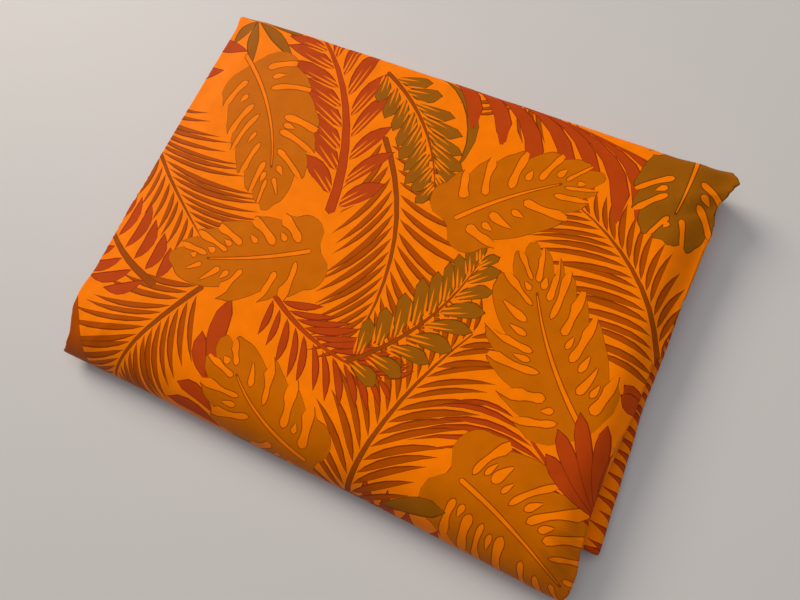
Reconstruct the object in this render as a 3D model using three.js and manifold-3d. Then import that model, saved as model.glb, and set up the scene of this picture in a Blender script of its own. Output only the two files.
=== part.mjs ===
// A length of printed silk, folded to a strip and wound flat into a soft rectangular pad.
// Units are millimetres. +X runs along the long side, +Y to the back edge and +Z up. The pad lies on z = 0.
//
// Everything is laid out straight, as nested turns of one section, and each point is then settled:
// settledHeight() lowers the loose right end, crowns the middle and raises the soft folds, and bowedY() bows
// the back and front edges, for all pieces alike, so that turns which clear each other in the straight layout
// still do when they are settled.
import * as THREE from "three";
import { mergeVertices } from "three/addons/utils/BufferGeometryUtils.js";
import Module from "manifold-3d";

// The pad's plan and height, before it is settled.
const pad = { left: -177, right: 174, front: -132, back: 136.5, height: 34 };
// The fold along the front is a soft roll that leans forward over a low nose.
const frontRoll = { depth: 36, noseHeight: 10, underDepth: 15 };
// The fold along the back is tight and stands nearly upright.
const backFold = { depth: 6.5, noseHeight: 28 };
// Each turn that shows is a wall of folded plies. The gap is the air between two turns.
const cloth = { outerWall: 2, secondWall: 1.6, gap: 0.5 };
// The turns start and stop on the underside, at this y, with the free edges this far apart.
const freeEdge = { y: 58, opening: 2.4 };

const secondOffset = cloth.outerWall + cloth.gap;
const innerOffset = secondOffset + cloth.secondWall + cloth.gap;

// The lower fold: its U-shaped edge slips out of the right end, most at the front.
const lowerFold = { wall: 2, height: 12, start: 104, front: -102, back: 112, lip: 5 };
// How far out the lower fold's edge lies along the pad.
const lowerFoldEdge = [
  { y: -102, x: 181.5 },
  { y: -72, x: 179.5 },
  { y: -45, x: 178.5 },
  { y: -10, x: 176.5 },
  { y: 60, x: 176 },
  { y: 112, x: 170 },
];

// The hidden plies, from the bottom up: how far each one's folded edge stops short of the pad's ends.
const hiddenPlies = [
  { left: 3, right: 7 },
  { left: 6, right: 5 },
  { left: 2, right: 8 },
  { left: 5, right: 4 },
  { left: 3, right: 7 },
  { left: 7, right: 5 },
];
const plyGroove = 2.6;
// The hidden solid stops this far short of the insides of the front roll and the back fold.
const hiddenInset = 1.6;

// Soft folds that show on the turns: the middle of each, its direction, half length, half width and height.
// The height is a share of the pad's own height.
const softFolds = [
  { x: -132, y: -96, degrees: 60, halfLength: 60, halfWidth: 22, rise: 0.03 },
  { x: -30, y: -90, degrees: 100, halfLength: 60, halfWidth: 26, rise: -0.022 },
  { x: 120, y: -84, degrees: 42, halfLength: 80, halfWidth: 20, rise: 0.035 },
  { x: 136, y: 92, degrees: -38, halfLength: 60, halfWidth: 20, rise: 0.03 },
  { x: 60, y: 50, degrees: -12, halfLength: 110, halfWidth: 30, rise: 0.022 },
  { x: -70, y: 20, degrees: 28, halfLength: 110, halfWidth: 30, rise: -0.02 },
];

// Stations along X between a turn's two ends: closer at the right, which is settled most.
const stationsX = [-164, -146, -124, -100, -74, -48, -22, 4, 30, 56, 80, 102, 122, 138, 150, 158, 164];

// How the pad settles, as shares of its height: it is crowned in the middle and lower at both ends.
// The back of the right end is held up by the tighter fold.
const settling = {
  crown: 0.05,
  crownHalfLength: 190,
  crownHalfWidth: 150,
  rightDrop: 0.3,
  rightDropFrom: 146,
  rightDropRun: 30,
  heldUp: { share: 0.16, y: 126, reach: 60 },
  leftDrop: 0.05,
  leftDropFrom: -160,
  leftDropRun: 16,
};

// The outer turn's ends, seen from above. Its top corners stand out a little at the back, with a notch by
// the right one, and its right end is drawn in behind the front roll.
const outerLeftEdge = [
  { y: -132, x: -177 },
  { y: -119, x: -173.5 },
  { y: -98, x: -178.6 },
  { y: -90, x: -179.8 },
  { y: -79, x: -178.4 },
  { y: -20, x: -179.4 },
  { y: 40, x: -179.6 },
  { y: 90, x: -179.2 },
  { y: 122, x: -179.4 },
  { y: 136.5, x: -182.5 },
];
const outerRightEdge = [
  { y: -132, x: 174.2 },
  { y: -118, x: 173.5 },
  { y: -98, x: 170.4 },
  { y: -80, x: 169.2 },
  { y: -55, x: 168.4 },
  { y: -25, x: 171.2 },
  { y: 2, x: 171.6 },
  { y: 14, x: 174.4 },
  { y: 76, x: 175.6 },
  { y: 94, x: 176.4 },
  { y: 110, x: 173.7 },
  { y: 119, x: 177 },
  { y: 127, x: 180.5 },
  { y: 136.5, x: 175 },
];
// The second turn flares out in a small round ear at the foot of the front roll's left end, and the outer
// turn follows it a little.
const frontEar = { outer: 4, second: 8, reach: 13, z: 12, height: 9 };
// The underside is this much shorter at both ends than the top, which starts between these heights.
const underside = { shorter: 2, topFrom: 12, topTo: 24 };
// The second turn's ends lie this far inside the outer one's, and more at the front right.
const secondInset = { left: 2.5, right: 4, frontRight: 2.5, from: -60, run: 40 };

// How far the back and front edges bow towards +Y along the pad, most at the edges themselves.
const edgeBow = [
  { x: -182, back: 2.8, front: -0.8 },
  { x: -128, back: 2.4, front: 0 },
  { x: -92, back: 1.5, front: 0 },
  { x: -9, back: 0, front: 0 },
  { x: 30, back: -1.3, front: 0 },
  { x: 76, back: -2.4, front: -0.3 },
  { x: 115, back: -3.3, front: -1 },
  { x: 141, back: -4.2, front: -1.5 },
  { x: 160, back: -3, front: -2 },
  { x: 180, back: 0.8, front: -2.2 },
];
const bowReach = { from: 60, run: 70 };

const smooth = (t) => THREE.MathUtils.smoothstep(t, 0, 1);
const bump = (distance, reach) => Math.max(0, 1 - (distance / reach) ** 2) ** 2;

// The value of column at a place along axis, between the rows of a table sorted by that axis.
function along(table, place, column, axis = "y") {
  const next = table.findIndex((row) => row[axis] >= place);
  if (next === -1) return table[table.length - 1][column];
  if (next === 0) return table[0][column];
  const [a, b] = [table[next - 1], table[next]];
  return THREE.MathUtils.lerp(a[column], b[column], smooth((place - a[axis]) / (b[axis] - a[axis])));
}

// The rise of the soft folds over a point of the plan.
function foldRise(x, y) {
  let rise = 0;
  for (const fold of softFolds) {
    const angle = THREE.MathUtils.degToRad(fold.degrees);
    const [dx, dy] = [x - fold.x, y - fold.y];
    const lengthways = dx * Math.cos(angle) + dy * Math.sin(angle);
    const across = -dx * Math.sin(angle) + dy * Math.cos(angle);
    rise += fold.rise * bump(lengthways, fold.halfLength) * Math.exp(-((across / fold.halfWidth) ** 2));
  }
  return rise;
}

// The height of a point of the straight layout once it is settled. The underside, at z = 0, stays flat.
function settledHeight(point) {
  const { heldUp } = settling;
  const crownAlong = Math.max(0, 1 - (point.x / settling.crownHalfLength) ** 2);
  const crownAcross = Math.max(0, 1 - (point.y / settling.crownHalfWidth) ** 2);
  const crown = settling.crown * crownAlong * crownAcross;
  const looseEnd = settling.rightDrop - heldUp.share * bump(point.y - heldUp.y, heldUp.reach);
  const rightDrop = looseEnd * smooth((point.x - settling.rightDropFrom) / settling.rightDropRun) ** 2;
  const leftDrop = settling.leftDrop * smooth((settling.leftDropFrom - point.x) / settling.leftDropRun);
  return point.z * (1 + crown - rightDrop - leftDrop + foldRise(point.x, point.y));
}

// Where a point of the straight layout lies across the pad once its edges are bowed.
function bowedY(point) {
  const back = smooth((point.y - bowReach.from) / bowReach.run);
  const front = smooth((-point.y - bowReach.from) / bowReach.run);
  const bow = (column) => along(edgeBow, point.x, column, "x");
  return point.y + bow("back") * back + bow("front") * front;
}

// The section of the pad, offset inwards: from the free edge round the back, top and front, and back under.
function section(offset) {
  const points = [];
  const line = (fromY, toY, z, steps) => {
    for (let i = 0; i < steps; i++) points.push({ y: THREE.MathUtils.lerp(fromY, toY, i / steps), z });
  };
  const arc = (centreY, centreZ, reachY, reachZ, from, to, steps) => {
    for (let i = 0; i < steps; i++) {
      const angle = THREE.MathUtils.degToRad(THREE.MathUtils.lerp(from, to, i / steps));
      points.push({ y: centreY + reachY * Math.cos(angle), z: centreZ + reachZ * Math.sin(angle) });
    }
  };
  const backY = pad.back - backFold.depth;
  const rollY = pad.front + frontRoll.depth;
  const underY = pad.front + frontRoll.underDepth;
  const top = pad.height - offset;
  const underReach = frontRoll.noseHeight - offset;
  line(freeEdge.y + freeEdge.opening / 2, backY, offset, 4);
  arc(backY, backFold.noseHeight, backFold.depth - offset, backFold.noseHeight - offset, -90, 0, 5);
  arc(backY, backFold.noseHeight, backFold.depth - offset, top - backFold.noseHeight, 0, 90, 6);
  line(backY, rollY, top, 20);
  arc(rollY, frontRoll.noseHeight, frontRoll.depth - offset, top - frontRoll.noseHeight, 90, 180, 10);
  arc(underY, frontRoll.noseHeight, frontRoll.underDepth - offset, underReach, 180, 270, 5);
  line(underY, freeEdge.y - freeEdge.opening / 2, offset, 9);
  points.push({ y: freeEdge.y - freeEdge.opening / 2, z: offset });
  return points;
}

// The lowest and highest z inside the section offset inwards, at y.
function heightsAt(y, offset) {
  const half = (distance, reachY, reachZ) => reachZ * Math.sqrt(Math.max(0, 1 - (distance / reachY) ** 2));
  const top = pad.height - offset;
  const [backY, rollY] = [pad.back - backFold.depth, pad.front + frontRoll.depth];
  const underY = pad.front + frontRoll.underDepth;
  const [backZ, noseZ] = [backFold.noseHeight, frontRoll.noseHeight];
  let [low, high] = [offset, top];
  if (y > backY) {
    low = backZ - half(y - backY, backFold.depth - offset, backZ - offset);
    high = backZ + half(y - backY, backFold.depth - offset, top - backZ);
  }
  if (y < rollY) high = noseZ + half(rollY - y, frontRoll.depth - offset, top - noseZ);
  if (y < underY) low = noseZ - half(underY - y, frontRoll.underDepth - offset, noseZ - offset);
  return { low, high };
}

// A closed geometry from rings of points, each ring joined to the next and the last to the first or capped.
class Skin {
  positions = [];
  indices = [];

  // Adds a point of the straight layout, settled, and gives its number.
  vertex(point) {
    this.positions.push(point.x, bowedY(point), settledHeight(point));
    return this.positions.length / 3 - 1;
  }

  quad(a, b, c, d) {
    this.indices.push(a, b, c, a, c, d);
  }

  // Joins two rows of vertex numbers of one length; round closes each row on itself.
  join(rowA, rowB, round) {
    const last = round ? rowA.length : rowA.length - 1;
    for (let i = 0; i < last; i++) {
      const next = (i + 1) % rowA.length;
      this.quad(rowA[i], rowA[next], rowB[next], rowB[i]);
    }
  }

  geometry() {
    return new THREE.BufferGeometry()
      .setAttribute("position", new THREE.BufferAttribute(new Float32Array(this.positions), 3))
      .setIndex(this.indices);
  }
}

// One turn of cloth round the pad: a wall between two offsets of the section, open at both ends.
function turn(offset, wall, leftEnd, rightEnd) {
  const skin = new Skin();
  const [outside, inside] = [section(offset), section(offset + wall)];
  // The inside's points are placed by the outside's, so that the wall's rim stays square to its run.
  const rows = [leftEnd, ...stationsX.map((x) => () => x), rightEnd].map((xAt) => {
    const outer = outside.map((point) => skin.vertex({ ...point, x: xAt(point) }));
    const inner = inside.map((point, i) => skin.vertex({ ...point, x: xAt(outside[i]) }));
    return [...outer, ...inner.reverse()];
  });
  rows.slice(1).forEach((row, i) => skin.join(rows[i], row, true));
  const cap = (row, flip) => {
    for (let i = 0; i < outside.length - 1; i++) {
      const [a, b] = [row[i], row[i + 1]];
      const [c, d] = [row[row.length - 2 - i], row[row.length - 1 - i]];
      if (flip) skin.quad(d, c, b, a);
      else skin.quad(a, b, c, d);
    }
  };
  cap(rows[0], true);
  cap(rows[rows.length - 1], false);
  return skin.geometry();
}

// A solid through outlines of one point count, each at its own y, capped at both ends. Each outline runs along
// its bottom, up its right end, back along its top and down its left end. The bottom and the top have points
// at the same places, so that the caps are made in columns that bow with the pad's edges.
function loft(stations, bottomCount) {
  const skin = new Skin();
  const rows = stations.map(({ y, outline }) => outline.map(([x, z]) => skin.vertex({ x, y, z })));
  rows.slice(1).forEach((row, i) => skin.join(rows[i], row, true));
  const cap = (row, outline, flip) => {
    const fill = (numbers) => {
      const contour = numbers.map((n) => new THREE.Vector2(...outline[n]));
      for (const [a, b, c] of THREE.ShapeUtils.triangulateShape(contour, [])) {
        const corners = [row[numbers[a]], row[numbers[b]], row[numbers[c]]];
        skin.indices.push(...(flip ? corners.reverse() : corners));
      }
    };
    const range = (from, to) => Array.from({ length: to - from + 1 }, (_, i) => from + i);
    // The right end's column starts one place early, because the grooves there run past the last place.
    const last = bottomCount - 2;
    const lastTop = outline.findIndex(([x], n) => n > last && x === outline[last][0]);
    fill(range(last, lastTop));
    for (let i = 0; i < last; i++) fill([i, i + 1, lastTop + last - i - 1, lastTop + last - i]);
    if (lastTop + last + 1 < outline.length) fill([...range(lastTop + last, outline.length - 1), 0]);
  };
  cap(rows[0], stations[0].outline, true);
  cap(rows[rows.length - 1], stations[stations.length - 1].outline, false);
  return skin.geometry();
}

// Positions from start to end, spaced more closely at both ends.
function spacedTowardsEnds(start, end, count) {
  return Array.from({ length: count + 1 }, (_, i) =>
    THREE.MathUtils.lerp(start, end, (1 - Math.cos((Math.PI * i) / count)) / 2),
  );
}

// The hidden plies as one solid inside the second turn, with a rounded lip for each folded edge.
function hiddenSolid() {
  const reach = innerOffset + hiddenInset;
  const stationsY = spacedTowardsEnds(pad.front + reach, pad.back - reach, 15);
  const outlineAt = (y) => {
    const { low, high } = heightsAt(y, innerOffset);
    const outline = [];
    const plyHeight = (high - low) / hiddenPlies.length;
    const groove = Math.min(plyGroove, plyHeight);
    const lips = (edgeOf, inwards) =>
      hiddenPlies.flatMap((row, i) => {
        const [edge, z] = [edgeOf(row), low + i * plyHeight];
        return [
          [edge + inwards * groove, z + 0.06 * plyHeight],
          [edge, z + 0.32 * plyHeight],
          [edge, z + 0.68 * plyHeight],
          [edge + inwards * groove, z + 0.94 * plyHeight],
        ];
      });
    const right = lips((row) => pad.right - row.right, -1);
    const left = lips((row) => pad.left + row.left, 1).reverse();
    const [bottom, top] = [right[0][1], left[0][1]];
    outline.push(...stationsX.map((x) => [x, bottom]), ...right);
    outline.push(...[...stationsX].reverse().map((x) => [x, top]), ...left);
    return outline;
  };
  return loft(stationsY.map((y) => ({ y, outline: outlineAt(y) })), stationsX.length);
}

// A flat slab with a rounded right edge that follows the lower fold, grown outwards by the given amount.
function lowerSlab(grow, start, endGrow) {
  const low = innerOffset - grow;
  const high = innerOffset + lowerFold.height + grow;
  const middle = (low + high) / 2;
  const stationsY = lowerFoldEdge.map((row) => row.y);
  stationsY.splice(1, 0, -87);
  stationsY.splice(5, 0, 25);
  stationsY[0] = lowerFold.front - endGrow;
  stationsY[stationsY.length - 1] = lowerFold.back + endGrow;
  const flatX = [start, ...stationsX.filter((x) => x > start + 4)];
  const outlineAt = (y) => {
    const edge = along(lowerFoldEdge, y, "x") + grow;
    const turnX = edge - lowerFold.lip - grow;
    const outline = flatX.map((x) => [x, low]);
    for (let i = 0; i <= 6; i++) {
      const angle = -Math.PI / 2 + (Math.PI * i) / 6;
      outline.push([turnX + (edge - turnX) * Math.cos(angle), middle + (middle - low) * Math.sin(angle)]);
    }
    outline.push(...[...flatX].reverse().map((x) => [x, high]));
    return outline;
  };
  return loft(stationsY.map((y) => ({ y, outline: outlineAt(y) })), flatX.length);
}

const wasm = await Module();
wasm.setup();

// A geometry as a solid that can be cut and joined, with its faces turned to point out.
function solidFrom(geometry) {
  const merged = mergeVertices(geometry, 1e-4);
  const make = (triVerts) =>
    new wasm.Manifold(
      new wasm.Mesh({ numProp: 3, vertProperties: merged.attributes.position.array, triVerts }),
    );
  const triVerts = new Uint32Array(merged.index.array);
  const solid = make(triVerts);
  if (solid.volume() > 0) return solid;
  for (let i = 0; i < triVerts.length; i += 3) {
    [triVerts[i + 1], triVerts[i + 2]] = [triVerts[i + 2], triVerts[i + 1]];
  }
  return make(triVerts);
}

// A solid as a geometry.
function geometryFrom(solid) {
  const mesh = solid.getMesh();
  return new THREE.BufferGeometry()
    .setAttribute("position", new THREE.BufferAttribute(new Float32Array(mesh.vertProperties), 3))
    .setIndex(new THREE.BufferAttribute(new Uint32Array(mesh.triVerts), 1));
}

const silk = (name, color) => {
  const material = new THREE.MeshStandardMaterial({ color, roughness: 0.55, metalness: 0 });
  material.name = name;
  return material;
};

const part = new THREE.Group();

function add(name, solid, material) {
  const mesh = new THREE.Mesh(geometryFrom(solid), material);
  mesh.name = name;
  part.add(mesh);
}

// How far a point belongs to the top, from 0 on the underside to 1.
const topShare = (point) => smooth((point.z - underside.topFrom) / (underside.topTo - underside.topFrom));
const earShare = (point) =>
  bump(point.y - pad.front, frontEar.reach) * bump(point.z - frontEar.z, frontEar.height);

function outerLeftEnd(point) {
  const edge = along(outerLeftEdge, point.y, "x");
  const below = Math.max(edge, pad.left) + underside.shorter;
  return THREE.MathUtils.lerp(below, edge, topShare(point)) - frontEar.outer * earShare(point);
}

function outerRightEnd(point) {
  const edge = along(outerRightEdge, point.y, "x");
  const below = Math.min(edge, pad.right) - underside.shorter;
  return THREE.MathUtils.lerp(below, edge, topShare(point));
}

const secondLeftEnd = (point) => pad.left + secondInset.left - frontEar.second * earShare(point);

function secondRightEnd(point) {
  const front = secondInset.frontRight * smooth((secondInset.from - point.y) / secondInset.run);
  return pad.right - secondInset.right - front;
}

const outerTurn = turn(0, cloth.outerWall, outerLeftEnd, outerRightEnd);
const secondTurn = turn(secondOffset, cloth.secondWall, secondLeftEnd, secondRightEnd);

// The lower fold is a wall round a lobe of the hidden plies, which are cut away to let it in.
const cut = 6;
const lowerInside = lowerSlab(-lowerFold.wall, lowerFold.start - 2 * cut, cut);
const lowerWall = solidFrom(lowerSlab(0, lowerFold.start, 0)).subtract(solidFrom(lowerInside));
const lobe = solidFrom(lowerSlab(-lowerFold.wall - cloth.gap, lowerFold.start - 3 * cut, -1));
const hidden = solidFrom(hiddenSolid())
  .subtract(solidFrom(lowerSlab(cloth.gap, lowerFold.start - cloth.gap, cloth.gap)))
  .add(lobe);

add("outer_turn", solidFrom(outerTurn), silk("silk", 0xf07c04));
add("second_turn", solidFrom(secondTurn), silk("silk_second", 0xe07410));
add("lower_fold", lowerWall, silk("silk_lower", 0xd0600c));
add("inner_layers", hidden, silk("silk_hidden", 0xc86010));

// The origin is the middle of the pad's box, on the surface it lies on.
const box = new THREE.Box3().setFromObject(part);
const centre = box.getCenter(new THREE.Vector3());
part.position.set(-centre.x, -centre.y, -box.min.z);

export default part;
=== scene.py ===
import math
import random

import bpy
import numpy as np
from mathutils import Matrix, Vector
from mathutils.geometry import delaunay_2d_cdt


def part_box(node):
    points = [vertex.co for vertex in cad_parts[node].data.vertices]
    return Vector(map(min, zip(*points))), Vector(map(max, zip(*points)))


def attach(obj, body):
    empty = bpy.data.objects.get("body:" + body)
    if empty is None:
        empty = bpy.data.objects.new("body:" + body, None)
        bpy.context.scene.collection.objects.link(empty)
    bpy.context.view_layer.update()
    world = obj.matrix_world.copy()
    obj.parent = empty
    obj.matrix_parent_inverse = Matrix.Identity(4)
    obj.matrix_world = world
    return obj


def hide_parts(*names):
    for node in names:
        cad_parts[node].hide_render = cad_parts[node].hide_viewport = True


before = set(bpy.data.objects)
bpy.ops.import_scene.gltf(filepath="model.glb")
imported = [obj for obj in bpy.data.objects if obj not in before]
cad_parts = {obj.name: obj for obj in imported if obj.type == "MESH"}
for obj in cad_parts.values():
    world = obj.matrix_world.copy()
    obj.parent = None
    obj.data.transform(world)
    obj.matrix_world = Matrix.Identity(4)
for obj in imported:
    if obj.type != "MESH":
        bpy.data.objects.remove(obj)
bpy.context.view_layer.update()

mm = 0.001

# Lengths below are in mm, in the pad's own layout: x along the long side, y to the back fold, z up.
pad = {"left": -177, "right": 174, "front": -132, "back": 136.5, "height": 34}
frontRoll = {"depth": 36, "noseHeight": 10, "underDepth": 15}
backFold = {"depth": 6.5, "noseHeight": 28}
cloth = {"outerWall": 2.0, "secondWall": 1.6, "gap": 0.5}
freeEdge = {"y": 58, "opening": 2.4}
lowerFold = {"low": 4.6, "high": 16.6, "start": 104, "front": -102, "back": 112, "lip": 5}
# where the outer turn's ends lie: rows of (y, x)
outerLeftEdge = [(-132, -177), (-119, -173.5), (-98, -178.6), (-90, -179.8), (-79, -178.4), (-20, -179.4),
                 (40, -179.6), (90, -179.2), (122, -179.4), (136.5, -182.5)]
outerRightEdge = [(-132, 174.2), (-118, 173.5), (-98, 170.4), (-80, 169.2), (-55, 168.4), (-25, 171.2),
                  (2, 171.6), (14, 174.4), (76, 175.6), (94, 176.4), (110, 173.7), (119, 177), (127, 180.5),
                  (136.5, 175)]
# how far the back and the front edge bow towards +y: rows of (x, bow)
backBow = [(-182, 2.8), (-128, 2.4), (-92, 1.5), (-9, 0), (30, -1.3), (76, -2.4), (115, -3.3), (141, -4.2),
           (160, -3), (180, 0.8)]
frontBow = [(-182, -0.8), (-128, 0), (-9, 0), (30, 0), (76, -0.3), (115, -1), (141, -1.5), (160, -2),
            (180, -2.2)]
bowReach = {"from": 60, "run": 70}
# how far the lower fold slips out: rows of (y, x)
lowerFoldEdge = [(-102, 181.5), (-72, 179.5), (-45, 178.5), (-10, 176.5), (60, 176), (112, 170)]
secondOffset = cloth["outerWall"] + cloth["gap"]
innerOffset = secondOffset + cloth["secondWall"] + cloth["gap"]
lowerMiddle = (lowerFold["low"] + lowerFold["high"]) / 2
# where the section's curves meet its flat stretches
rollY = pad["front"] + frontRoll["depth"]
underY = pad["front"] + frontRoll["underDepth"]
backY = pad["back"] - backFold["depth"]

# where the layout's own origin lies in the frame
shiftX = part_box("lower_fold")[1][0] / mm - lowerFoldEdge[0][1]
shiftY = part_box("outer_turn")[1][1] / mm - pad["back"] - backBow[0][1]


def named(columns, *rows):
    # the rows of a table as dictionaries, with its columns' names
    return [dict(zip(columns.split(), row)) for row in rows]


def linear(hexColour):
    # sRGB hex to linear RGBA
    parts = [int(hexColour[i:i + 2], 16) / 255 for i in (1, 3, 5)]
    return [c / 12.92 if c <= 0.04045 else ((c + 0.055) / 1.055) ** 2.4 for c in parts] + [1.0]


def smooth(t):
    # eased from 0 to 1
    t = np.clip(t, 0.0, 1.0)
    return t * t * (3 - 2 * t)


def bump(distance, reach):
    # a round hump: 1 in its middle, 0 from reach on
    return np.maximum(0.0, 1 - (distance / reach) ** 2) ** 2


# The print: leaves drawn flat, in mm on the cloth, u along its width and v along its length.

# each colour of leaf is printed as a darker line and its filling
inks = {
    "ground": "#fb7c00",
    "ochre": "#c96600",
    "ochreLine": "#984200",
    "olive": "#9a5808",
    "oliveLine": "#6e3a06",
    "brown": "#b04b00",
    "brownLine": "#8a3600",
    "rust": "#b8400c",
    "rustLine": "#8e2a08",
    "umber": "#9a4506",
    "umberLine": "#8a3600",
}


def runOf(base, tip):
    # how far it is from one place to another, and in which direction
    du, dv = tip[0] - base[0], tip[1] - base[1]
    length = math.hypot(du, dv)
    return length, du / length, dv / length


def stepped(u, v, heading, ahead, aside=0.0):
    # the place that lies ahead of another along a heading, and to its left
    c, s = math.cos(heading), math.sin(heading)
    return u + ahead * c - aside * s, v + ahead * s + aside * c


def midribPoint(leaf, t):
    # place and heading at share t of a leaf's bowed midrib
    bu, bv = leaf["base"]
    length, du, dv = runOf(leaf["base"], leaf["tip"])
    bow = leaf.get("bow", 0.0)
    side = bow * 4 * t * (1 - t)
    heading = math.atan2(dv, du) + math.atan(bow * 4 * (1 - 2 * t) / length)
    return bu + du * length * t - dv * side, bv + dv * length * t + du * side, heading


def bladeOutline(root, tip, width, form, bow=0.0, inset=0.0, lean=0.0):
    # a blade from root to tip: it widens until share rise of its length, stays full until share fall, and
    # then tapers
    ru, rv = root
    length, du, dv = runOf(root, tip)
    rows = ([], [])
    first, last = inset / length, 1 - 2 * inset / length
    steps = form.get("steps", 6)
    for i in range(steps + 1):
        t = first + (last - first) * (i / steps) ** 1.15
        full = math.sin(math.pi / 2 * min(1.0, t / form["rise"])) ** form.get("root", 0.5)
        full *= 1 - max(0.0, (t - form["fall"]) / (1 - form["fall"])) ** form.get("blunt", 1.6)
        half = max(0.05, width / 2 * full - inset)
        side = bow * 4 * t * (1 - t) + lean * full
        for row, sign in zip(rows, (1, -1)):
            offset = side + sign * half
            row.append((ru + du * length * t - dv * offset, rv + dv * length * t + du * offset))
    return rows[0] + rows[1][::-1]


def paintBlade(shapes, blade, root, tip, width=None, bow=0.0, lean=0.0):
    # one blade, in its line colour and then its filling, which lies a little to one side
    line, filling = blade["ink"] + "Line", blade["ink"]
    width = width or blade["width"]
    shapes.append((bladeOutline(root, tip, width, blade, bow), line))
    if width > 2.2 * blade["band"]:
        shapes.append((bladeOutline(root, tip, width, blade, bow, blade["band"], lean), filling))


def paintRib(shapes, leaf, start, end, width, ink, grow=0.0):
    # a strip along the midrib, widest at the leaf's base
    stations = 10
    row = ([], [])
    for i in range(stations + 1):
        share = i / stations
        u, v, heading = midribPoint(leaf, start + (end - start) * share)
        half = width / 2 * (1 - 0.8 * share ** 1.3) + grow
        if i == 0:
            nose = stepped(u, v, heading, -half * 0.8)
        for points, sign in zip(row, (1, -1)):
            points.append(stepped(u, v, heading, 0.0, half * sign))
    shapes.append((row[0] + row[1][::-1] + [nose], ink))


def paintStreaks(shapes, root, tip, width, count):
    # fine pale streaks that run into a broad blade from its root
    ru, rv = root
    length, du, dv = runOf(root, tip)
    for i in range(count):
        aside = width * 0.62 * (i / (count - 1) - 0.5) if count > 1 else 0.0
        start = (ru - dv * aside * 0.7 - du, rv + du * aside * 0.7 - dv)
        reach = length * (0.36 + 0.13 * ((i * 2) % 3))
        end = (ru + du * reach - dv * aside, rv + dv * reach + du * aside)
        shapes.append((bladeOutline(start, end, 1.3, {"rise": 0.3, "fall": 0.4, "steps": 4}), "ground"))


# a frond's blades: where they start and how far they reach along the midrib, how far the sides are staggered,
# how far a heading strays in radians, and the ranges of their length and width
frondForm = {"start": 0.02, "run": 0.97, "stagger": 0.25, "stray": 0.05, "length": (0.9, 1.06),
             "width": (0.85, 1.1)}


def paintFrond(shapes, leaf, rng):
    # a palm, fern or feather leaf: blades on both sides of a bowed midrib, clear of it at their roots
    form, count, sides = frondForm, leaf["count"], leaf.get("sides", (1, -1))
    for i in range(count):
        for side in sides:
            t = min(1.0, form["start"] + form["run"] * (i + form["stagger"] * side) / (count - 1))
            u, v, heading = midribPoint(leaf, max(0.0, t))
            first, last = leaf["spread"] if side > 0 else leaf.get("spreadRight", leaf["spread"])
            stray = rng.uniform(-form["stray"], form["stray"])
            heading += side * (math.radians(first + (last - first) * t) + stray)
            reach = leaf["blade"] * (0.62 + 0.38 * math.sin(math.pi * (0.1 + 0.8 * t))) * (1 - 0.4 * t ** 5)
            reach *= rng.uniform(*form["length"]) * leaf.get("reachRight", 1.0) ** (side < 0)
            gap = leaf["gap"] + leaf["rib"] / 2 * (1 - 0.8 * t)
            root, tip = stepped(u, v, heading, gap), stepped(u, v, heading, gap + reach)
            width = leaf["width"] * rng.uniform(*form["width"]) * (1 - 0.3 * t ** 3)
            paintBlade(shapes, leaf, root, tip, width, -side * leaf["curl"] * reach, side * leaf["lean"])
            paintStreaks(shapes, root, tip, width, leaf.get("streaks", 0))
    line, filling = leaf["ribInk"] + "Line", leaf["ribInk"]
    paintRib(shapes, leaf, 0.0, 1.0, leaf["rib"], line)
    paintRib(shapes, leaf, 0.0, 0.98, leaf["rib"] - 1.0, filling)


def veinPoint(leaf, side, t, r):
    # a point of a split leaf: share t along the midrib, below 0 in its heel, and share r from the midrib out
    onRib = min(max(t, 0.0), 1.0)
    u, v, heading = midribPoint(leaf, onRib * leaf["ribShare"])
    first, last = leaf["spread"]
    spread = first + (last - first) * onRib ** 1.4 + leaf["heelSpread"] * max(-t, 0.0) / leaf["heel"]
    heading += side * math.radians(spread * (1 - leaf["sweep"] * r))
    beyond = (1 - leaf["ribShare"]) * runOf(leaf["base"], leaf["tip"])[0]
    reach = leaf["halfWidth"] * (0.7 + 0.4 * math.sin(math.pi * (0.1 + 0.75 * onRib)))
    reach += (beyond - reach) * onRib ** 5
    return stepped(u, v, heading, reach * r)


# a slit's outline: how its points bunch at its start, how it narrows and flares, its least half width, and
# how far it runs on past the margin
slitForm = {"bunched": 1.4, "narrowing": 0.62, "narrowPower": 0.9, "flareFrom": 0.5, "flarePower": 1.4,
            "least": 0.12, "runOn": 0.25}


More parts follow.
